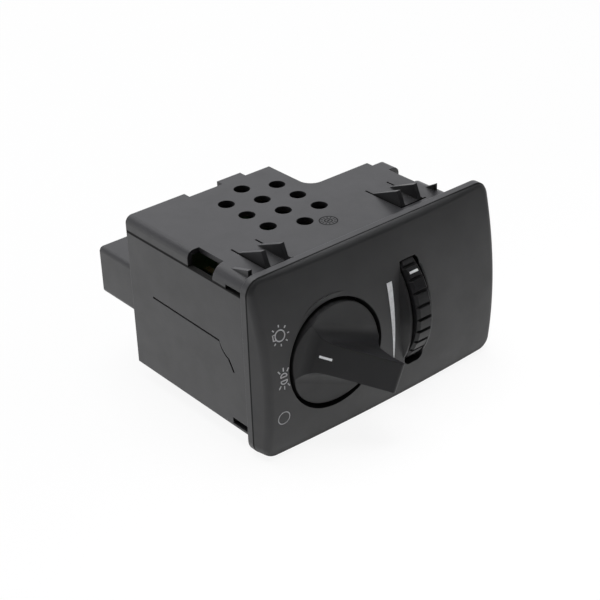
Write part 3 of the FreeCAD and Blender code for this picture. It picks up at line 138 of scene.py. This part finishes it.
def ramp(tree, source, low, high, low_value, high_value):
    """Maps a factor between two stops to a grey or a colour."""
    node = tree.nodes.new("ShaderNodeValToRGB")
    first, last = node.color_ramp.elements
    first.position, last.position = low, high
    for element, shade in ((first, low_value), (last, high_value)):
        colour = shade if isinstance(shade, tuple) else (shade, shade, shade)
        element.color = (*colour, 1.0)
    tree.links.new(source, node.inputs["Fac"])
    return node.outputs["Color"]


def bump(tree, height, depth, strength, normal=None):
    """Surface relief from a height, its depth in millimetres."""
    node = node_of(tree, "ShaderNodeBump", Strength=strength, Distance=depth * MM)
    tree.links.new(height, node.inputs["Height"])
    if normal:
        tree.links.new(normal, node.inputs["Normal"])
    return node.outputs["Normal"]


def times(tree, first, second):
    """Product of an output and a number or another output."""
    node = node_of(tree, "ShaderNodeMath", operation="MULTIPLY")
    tree.links.new(first, node.inputs[0])
    if isinstance(second, float):
        node.inputs[1].default_value = second
    else:
        tree.links.new(second, node.inputs[1])
    return node.outputs[0]


def off_joint(tree, axis, place):
    """Nought in the dark gap of a joint across an axis, one away from it and, across Z, on the rim."""
    split = tree.nodes.new("ShaderNodeSeparateXYZ")
    tree.links.new(object_coordinates(tree), split.inputs["Vector"])
    apart = node_of(tree, "ShaderNodeMath", operation="SUBTRACT")
    apart.inputs[1].default_value = place * MM
    tree.links.new(split.outputs[axis], apart.inputs[0])
    distance = node_of(tree, "ShaderNodeMath", operation="ABSOLUTE")
    tree.links.new(apart.outputs[0], distance.inputs[0])
    away = ramp(tree, times(tree, distance.outputs[0], 1.0 / MM), JOINT_DARK, JOINT_CLEAR, 0.0, 1.0)
    if axis == "Y":
        return away
    on_rim = node_of(tree, "ShaderNodeMath", operation="LESS_THAN")
    on_rim.inputs[1].default_value = 0.0
    tree.links.new(split.outputs["Y"], on_rim.inputs[0])
    either = node_of(tree, "ShaderNodeMath", operation="MAXIMUM")
    tree.links.new(away, either.inputs[0])
    tree.links.new(on_rim.outputs[0], either.inputs[1])
    return either.outputs[0]


def moulded(name, colour, roughness, grain, edge=0.0, specular=0.5, joint=None):
    """Black moulded plastic: fine spark-eroded grain, faint cloudiness, painted shade in its recesses and
    dark joint lines.
    """
    material, tree = new_material(name)
    shader = tree.nodes["Principled BSDF"]
    # Painted shade: the base colour darkens where the surface sees little open sky nearby, and the same
    # factor raises the roughness there, dimming reflections.
    recess = node_of(tree, "ShaderNodeAmbientOcclusion", samples=SHADE_SAMPLES, Distance=RECESS * MM)
    painted_shade_and_joint = ramp(tree, recess.outputs["AO"], PAINTED_SHADE_SHUT, PAINTED_SHADE_OPEN, PAINTED_SHADE_DARKEST, 1.0)
    if joint:
        painted_shade_and_joint = times(tree, painted_shade_and_joint, off_joint(tree, *joint))
    shader.inputs["Specular IOR Level"].default_value = specular
    darker = tuple(0.82 * part for part in colour)
    lighter = tuple(1.22 * part for part in colour)
    cloud = ramp(tree, noise(tree, CLOUD_SCALE, 4.0), 0.35, 0.7, darker, lighter)
    shaded = node_of(tree, "ShaderNodeVectorMath", operation="SCALE")
    tree.links.new(cloud, shaded.inputs[0])
    tree.links.new(painted_shade_and_joint, shaded.inputs["Scale"])
    tree.links.new(shaded.outputs["Vector"], shader.inputs["Base Color"])
    rub = ramp(tree, noise(tree, RUB_SCALE, 5.0, 0.65), 0.3, 0.72, roughness - 0.05, roughness + 0.06)
    dull = node_of(tree, "ShaderNodeMapRange")
    dull.inputs["To Min"].default_value = 1.0
    tree.links.new(painted_shade_and_joint, dull.inputs["Value"])
    tree.links.new(rub, dull.inputs["To Max"])
    tree.links.new(dull.outputs["Result"], shader.inputs["Roughness"])
    normal = None
    if edge:
        rounded = node_of(tree, "ShaderNodeBevel", samples=SHADE_SAMPLES, Radius=edge * MM)
        normal = rounded.outputs["Normal"]
    pitted = bump(tree, noise(tree, grain, 2.0, 0.5), GRAIN_DEPTH, 0.35, normal)
    tree.links.new(pitted, shader.inputs["Normal"])
    return material


def metal(name, colour, roughness, streak):
    """Stamped metal with rolling marks along its length."""
    material, tree = new_material(name)
    shader = tree.nodes["Principled BSDF"]
    shader.inputs["Metallic"].default_value = 1.0
    stretch = tree.nodes.new("ShaderNodeMapping")
    stretch.inputs["Scale"].default_value = streak
    tree.links.new(object_coordinates(tree), stretch.inputs["Vector"])
    texture = node_of(tree, "ShaderNodeTexNoise", Scale=300.0, Detail=4.0)
    tree.links.new(stretch.outputs["Vector"], texture.inputs["Vector"])
    duller = tuple(0.8 * part for part in colour)
    streaked = ramp(tree, texture.outputs["Fac"], 0.3, 0.7, duller, colour)
    tree.links.new(streaked, shader.inputs["Base Color"])
    rolled = ramp(tree, texture.outputs["Fac"], 0.3, 0.7, roughness, roughness + 0.15)
    tree.links.new(rolled, shader.inputs["Roughness"])
    tree.links.new(bump(tree, texture.outputs["Fac"], STREAK_DEPTH, 0.4), shader.inputs["Normal"])
    return material


def laminate(name, base, weave, roughness):
    """Board material with the weave of its glass or paper showing through."""
    material, tree = new_material(name)
    shader = tree.nodes["Principled BSDF"]
    shader.inputs["Roughness"].default_value = roughness
    threads = node_of(tree, "ShaderNodeTexWave", Scale=600.0, Distortion=1.5, Detail=2.0)
    tree.links.new(object_coordinates(tree), threads.inputs["Vector"])
    woven = ramp(tree, threads.outputs["Fac"], 0.1, 0.9, base, weave)
    tree.links.new(woven, shader.inputs["Base Color"])
    tree.links.new(bump(tree, threads.outputs["Fac"], STREAK_DEPTH, 0.5), shader.inputs["Normal"])
    return material


def clear_plastic(name):
    """Clear acrylic with a faint tint and a slightly uneven polish."""
    material, tree = new_material(name)
    shader = tree.nodes["Principled BSDF"]
    shader.inputs["Transmission Weight"].default_value = 0.92
    shader.inputs["IOR"].default_value = 1.49
    tint = ramp(tree, noise(tree, 60.0), 0.3, 0.7, (0.92, 0.94, 0.93), (0.98, 0.98, 0.97))
    tree.links.new(tint, shader.inputs["Base Color"])
    polish = ramp(tree, noise(tree, 200.0), 0.3, 0.7, 0.06, 0.16)
    tree.links.new(polish, shader.inputs["Roughness"])
    return material


def ink(name, colour, roughness):
    """Screen-printed or inlaid marking with slightly uneven cover."""
    material, tree = new_material(name)
    shader = tree.nodes["Principled BSDF"]
    thin = tuple(0.86 * part for part in colour)
    cover = ramp(tree, noise(tree, 900.0), 0.35, 0.65, thin, colour)
    tree.links.new(cover, shader.inputs["Base Color"])
    dried = ramp(tree, noise(tree, 700.0), 0.3, 0.7, roughness, roughness + 0.1)
    tree.links.new(dried, shader.inputs["Roughness"])
    return material


# The materials, by the names of the part's material slots and of the marks

MATERIALS = {
    "bezel_black": moulded("bezel_black", (0.016, 0.016, 0.017), 0.46, 5200.0, edge=0.35,
                            joint=("Y", -RIM_THICKNESS)),
    "case_black": moulded("case_black", (0.017, 0.017, 0.019), 0.36, 3600.0, edge=0.3,
                           joint=("Z", COVER_SEAM)),
    "knob_black": moulded("knob_black", (0.012, 0.012, 0.013), 0.44, 5600.0, edge=0.5, specular=0.35),
    "wheel_black": moulded("wheel_black", (0.007, 0.007, 0.008), 0.42, 4200.0, edge=0.2, specular=0.3),
    "inner_black": moulded("inner_black", (0.02, 0.02, 0.021), 0.5, 2400.0),
    "marking_white": ink("marking_white", (0.78, 0.79, 0.8), 0.5),
    "symbol_grey": ink("symbol_grey", (0.42, 0.42, 0.43), 0.5),
    # The date ring's near-black matte lines are painted shade standing for its moulded relief, given the ink
    # shader.
    "clock_grey": ink("clock_grey", (0.002, 0.002, 0.0025), 0.85),
    "board_green": laminate("board_green", (0.02, 0.09, 0.04), (0.04, 0.14, 0.07), 0.4),
    "plate_tan": laminate("plate_tan", (0.32, 0.25, 0.16), (0.42, 0.34, 0.23), 0.5),
    "contact_brass": metal("contact_brass", (0.78, 0.58, 0.28), 0.28, (1.0, 12.0, 1.0)),
    "spring_steel": metal("spring_steel", (0.62, 0.62, 0.61), 0.25, (1.0, 1.0, 14.0)),
    "tinned": metal("tinned", (0.74, 0.71, 0.64), 0.3, (1.0, 10.0, 1.0)),
    "clear_light": clear_plastic("clear_light"),
}


def dress_nodes():
    """Gives every CAD node the material of its slot."""
    for part in frame["record"]["subparts"]:
        mesh = nodes[part["node"]].data
        mesh.materials.clear()
        mesh.materials.append(MATERIALS[part["material_slot"]])


# Marks: flat strips just over the crowned face, and one set on the cover

def face_y(x, z):
    """Y of the bezel's face, in millimetres."""
    side_radius = HALF_WIDTH ** 2 / (2 * SIDE_DROP)
    return -FACE_REACH + (z + CROWN_DROP) ** 2 / (2 * CROWN_RADIUS) + x ** 2 / (2 * side_radius)


def on_face(x, z):
    """The point of a print over a place on the face."""
    return Vector((x, face_y(x, z) - PRINT_LIFT, z)) * MM


def mesh_piece(name, bm, material, body):
    """Makes a piece from a finished mesh, dresses it and has it ride a body."""
    mesh = bpy.data.meshes.new(name)
    bm.to_mesh(mesh)
    bm.free()
    mesh.materials.append(MATERIALS[material])
    piece = bpy.data.objects.new(name, mesh)
    bpy.context.scene.collection.objects.link(piece)
    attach(piece, body)
    return piece


def add_strip(bm, points, width, place, closed=False):
    """A flat line of even width along points in the mark's own plane."""
    count = len(points)
    rails = []
    for index, point in enumerate(points):
        before = points[index - 1] if index or closed else point
        after = points[(index + 1) % count] if index < count - 1 or closed else point
        way = (Vector(after) - Vector(before)).normalized()
        across = Vector((-way.y, way.x)) * (width / 2)
        spot = Vector(point)
        rails.append([bm.verts.new(place(*(spot + across))), bm.verts.new(place(*(spot - across)))])
    for index in range(count if closed else count - 1):
        first, second = rails[index], rails[(index + 1) % count]
        bm.faces.new((first[0], first[1], second[1], second[0]))


def arc_points(radius, end, steps):
    """Points of an arc round the symbol's middle, from its right to an angle in degrees."""
    angles = [math.radians(end * step / steps) for step in range(steps + 1)]
    return [(radius * math.cos(angle), radius * math.sin(angle)) for angle in angles]


def add_ring(bm, radius, steps, width, place):
    add_strip(bm, arc_points(radius, 360, steps)[:-1], width, place, closed=True)


def shifted(spot):
    """A place on the face measured from a symbol's own middle."""
    return lambda x, z: on_face(spot[0] + x, spot[1] + z)


def along(angle, near, far, centre=(0, 0)):
    """The two ends of a ray that leaves a centre at an angle."""
    direction = Vector((math.cos(math.radians(angle)), math.sin(math.radians(angle))))
    return [Vector(centre) + direction * near, Vector(centre) + direction * far]


def headlamp_symbol():
    """A lamp seen from the front: a ring, seven rays and its base on the left."""
    bm = bmesh.new()
    place = shifted(HEADLAMP_SPOT)
    ring, base_reach, base_high, base_low = 1.75, 2.55, 0.85, -0.95
    ray_near, ray_far = 2.65, 3.45
    add_ring(bm, ring, 32, STROKE, place)
    for angle in range(-135, 180, 45):
        add_strip(bm, along(angle, ray_near, ray_far), STROKE, place)
    base = [(-ring, base_high), (-base_reach, base_high), (-base_reach, base_low), (-ring, base_low)]
    add_strip(bm, base, STROKE, place)
    mesh_piece("headlamp_symbol", bm, "symbol_grey", "root")


def parking_symbol():
    """Two small lamps back to back, each with three spreading rays."""
    bm = bmesh.new()
    place = shifted(PARKING_SPOT)
    dome_radius, dome_foot, dome_height = 1.2, 0.65, 0.95
    ray_foot, ray_near, ray_far = 0.3, 2.2, 3.5
    for side in (1, -1):
        dome = [(x, side * (dome_foot + dome_height * z)) for x, z in arc_points(dome_radius, 180, 14)]
        add_strip(bm, dome, STROKE, place, closed=True)
        for angle in (55, 90, 125):
            add_strip(bm, along(side * angle, ray_near, ray_far, (0, side * ray_foot)), STROKE, place)
    mesh_piece("parking_symbol", bm, "symbol_grey", "root")


def off_symbol():
    """A plain ring with a thinner line."""
    bm = bmesh.new()
    add_ring(bm, 2.15, 40, STROKE * 0.8, shifted(OFF_SPOT))
    mesh_piece("off_symbol", bm, "symbol_grey", "root")


def dimmer_wedge():
    """The white wedge beside the wheel: wide at its top, its right side bowed."""
    bm = bmesh.new()
    steps = 12
    top, low = 14.0, -13.3
    left_top, left_lean, right_top, right_bow = -0.1, 1.2, 2.1, 0.6
    left, right = [], []
    for step in range(steps + 1):
        share = step / steps
        z = top + (low - top) * share
        left.append(bm.verts.new(on_face(left_top + left_lean * share, z)))
        right.append(bm.verts.new(on_face(right_top - right_bow * share ** 2, z)))
    for step in range(steps):
        bm.faces.new((left[step], left[step + 1], right[step + 1], right[step]))
    mesh_piece("dimmer_wedge", bm, "marking_white", "root")


def clock_mark():
    """A moulder's date ring on the cover, its moulded relief drawn as near-black lines of painted shade: two
    rings, twelve ticks between them and a short hand.
    """
    bm = bmesh.new()

    def place(x, y):
        return Vector((CLOCK_SPOT[0] + x, CLOCK_SPOT[1] + y, COVER_TOP + PRINT_LIFT)) * MM

    outer, inner, tick_near, tick_far = 2.9, 1.2, 1.8, 2.5
    add_ring(bm, outer, 40, STROKE, place)
    add_ring(bm, inner, 24, STROKE, place)
    for angle in range(0, 360, 30):
        add_strip(bm, along(angle, tick_near, tick_far), STROKE * 0.8, place)
    add_strip(bm, [(-0.7, -0.2), (0.7, 0.2)], STROKE * 1.2, place)
    mesh_piece("clock_mark", bm, "clock_grey", "root")


# Camera, floor and lights

# The camera's place in metres, its angles, and its lens in millimetres on a 36 mm sensor

CAMERA_SPOT = (-0.2783, -0.3036, 0.2437)
CAMERA_AZIMUTH = math.radians(-39.516)
CAMERA_ELEVATION = math.radians(30.118)
CAMERA_ROLL = math.radians(-1.896)
CAMERA_LENS = 89.853
SENSOR = 36.0

# The world's light on the camera's side and behind the object, the way to its bright side, and where between
# the two it changes

WORLD_FRONT = 0.03
WORLD_BACK = 1.1
BRIGHT_SIDE = (0.15, 0.99, 0.0)
BRIGHT_FROM = -0.4
BRIGHT_TO = 0.8

# The floor: its share of plain white, its size in metres, and its gap under the object in millimetres

FLOOR_GLOW = 0.9
FLOOR_SIZE = 6.0
FLOOR_GAP = 0.2


def place_camera():
    """The photograph's camera, turned by its own three axes."""
    back = Vector((math.sin(CAMERA_AZIMUTH) * math.cos(CAMERA_ELEVATION),
                   -math.cos(CAMERA_AZIMUTH) * math.cos(CAMERA_ELEVATION), math.sin(CAMERA_ELEVATION)))
    right = (-back).cross(Vector((0, 0, 1))).normalized()
    up = right.cross(-back)
    cosine, sine = math.cos(CAMERA_ROLL), math.sin(CAMERA_ROLL)
    turned_right = right * cosine + up * sine
    turned_up = up * cosine - right * sine
    camera = bpy.data.objects.new("camera", bpy.data.cameras.new("camera"))
    camera.data.lens = CAMERA_LENS
    camera.data.sensor_width = SENSOR
    camera.data.clip_start, camera.data.clip_end = 0.01, 20.0
    turn = Matrix((turned_right, turned_up, back)).transposed().to_4x4()
    camera.matrix_world = Matrix.Translation(CAMERA_SPOT) @ turn
    bpy.context.scene.collection.objects.link(camera)
    bpy.context.scene.camera = camera


def floor():
    """A pale floor, nearly white to the camera and in reflections, that still takes the object's shadow."""
    bpy.ops.mesh.primitive_plane_add(size=FLOOR_SIZE, location=(0, 0, cad_box[0].z - FLOOR_GAP * MM))
    plane = bpy.context.object
    plane.name = "floor"
    material, tree = new_material("floor_white")
    shader = tree.nodes["Principled BSDF"]
    shader.inputs["Roughness"].default_value = 0.8
    shader.inputs["Specular IOR Level"].default_value = 0.2
    tree.links.new(ramp(tree, noise(tree, 8.0), 0.3, 0.7, 0.9, 0.93), shader.inputs["Base Color"])
    glow = tree.nodes.new("ShaderNodeEmission")
    glow.inputs["Color"].default_value = (1, 1, 1, 1)
    glow.inputs["Strength"].default_value = 1.0
    path = tree.nodes.new("ShaderNodeLightPath")
    seen = node_of(tree, "ShaderNodeMath", operation="MAXIMUM")
    tree.links.new(path.outputs["Is Camera Ray"], seen.inputs[0])
    tree.links.new(path.outputs["Is Glossy Ray"], seen.inputs[1])
    mix = tree.nodes.new("ShaderNodeMixShader")
    tree.links.new(times(tree, seen.outputs[0], FLOOR_GLOW), mix.inputs["Fac"])
    tree.links.new(shader.outputs["BSDF"], mix.inputs[1])
    tree.links.new(glow.outputs["Emission"], mix.inputs[2])
    tree.links.new(mix.outputs["Shader"], tree.nodes["Material Output"].inputs["Surface"])
    plane.data.materials.append(material)


def world():
    """A white studio: bright behind the object, dark on the camera's side, white to the camera itself."""
    scene_world = bpy.data.worlds.new("studio")
    bpy.context.scene.world = scene_world
    scene_world.use_nodes = True
    tree = scene_world.node_tree
    background = tree.nodes["Background"]
    bright_side = node_of(tree, "ShaderNodeVectorMath", operation="DOT_PRODUCT")
    bright_side.inputs[1].default_value = BRIGHT_SIDE
    tree.links.new(tree.nodes.new("ShaderNodeTexCoord").outputs["Generated"], bright_side.inputs[0])
    depth = node_of(tree, "ShaderNodeMapRange")
    depth.inputs["From Min"].default_value = BRIGHT_FROM
    depth.inputs["From Max"].default_value = BRIGHT_TO
    depth.inputs["To Min"].default_value = WORLD_FRONT
    depth.inputs["To Max"].default_value = WORLD_BACK
    tree.links.new(bright_side.outputs["Value"], depth.inputs["Value"])
    tree.links.new(depth.outputs["Result"], background.inputs["Strength"])
    background.inputs["Color"].default_value = (0.97, 0.97, 1.0, 1)
    white = tree.nodes.new("ShaderNodeBackground")
    white.inputs["Color"].default_value = (1, 1, 1, 1)
    path = tree.nodes.new("ShaderNodeLightPath")
    either = node_of(tree, "ShaderNodeMath", operation="MAXIMUM")
    tree.links.new(path.outputs["Is Camera Ray"], either.inputs[0])
    tree.links.new(path.outputs["Is Transmission Ray"], either.inputs[1])
    mix = tree.nodes.new("ShaderNodeMixShader")
    tree.links.new(either.outputs[0], mix.inputs["Fac"])
    tree.links.new(background.outputs["Background"], mix.inputs[1])
    tree.links.new(white.outputs["Background"], mix.inputs[2])
    tree.links.new(mix.outputs["Shader"], tree.nodes["World Output"].inputs["Surface"])


def softbox(name, spot, target, size, power, spread=180.0):
    """A rectangular lamp aimed at a target, in metres and watts, its spread in degrees."""
    light = bpy.data.lights.new(name, "AREA")
    light.spread = math.radians(spread)
    light.shape = "RECTANGLE"
    light.size, light.size_y = size
    light.energy = power
    lamp = bpy.data.objects.new(name, light)
    lamp.location = spot
    lamp.rotation_mode = "QUATERNION"
    lamp.rotation_quaternion = (Vector(target) - Vector(spot)).to_track_quat("-Z", "Y")
    bpy.context.scene.collection.objects.link(lamp)


def lights():
    """Soft boxes on the left, above and on the right, and a narrow one aimed at the floor before the face."""
    middle = (0, 0.02, 0)
    softbox("left_box", (-0.85, 0.35, 0.1), middle, (0.6, 0.3), 0.8)
    softbox("top_box", (0.0, 0.3, 1.0), middle, (0.9, 0.9), 7.5)
    softbox("right_box", (0.6, -0.55, 0.75), middle, (0.5, 0.5), 0.7)
    before_face = (0.06, -0.09, 0.0)
    above_it = (0.06, -0.09, 0.45)
    softbox("floor_box", above_it, before_face, (0.4, 0.1), 0.12, spread=34.0)


bpy.context.scene.view_settings.view_transform = "Standard"
place_camera()
floor()
world()
lights()
dress_nodes()
headlamp_symbol()
parking_symbol()
off_symbol()
dimmer_wedge()
clock_mark()
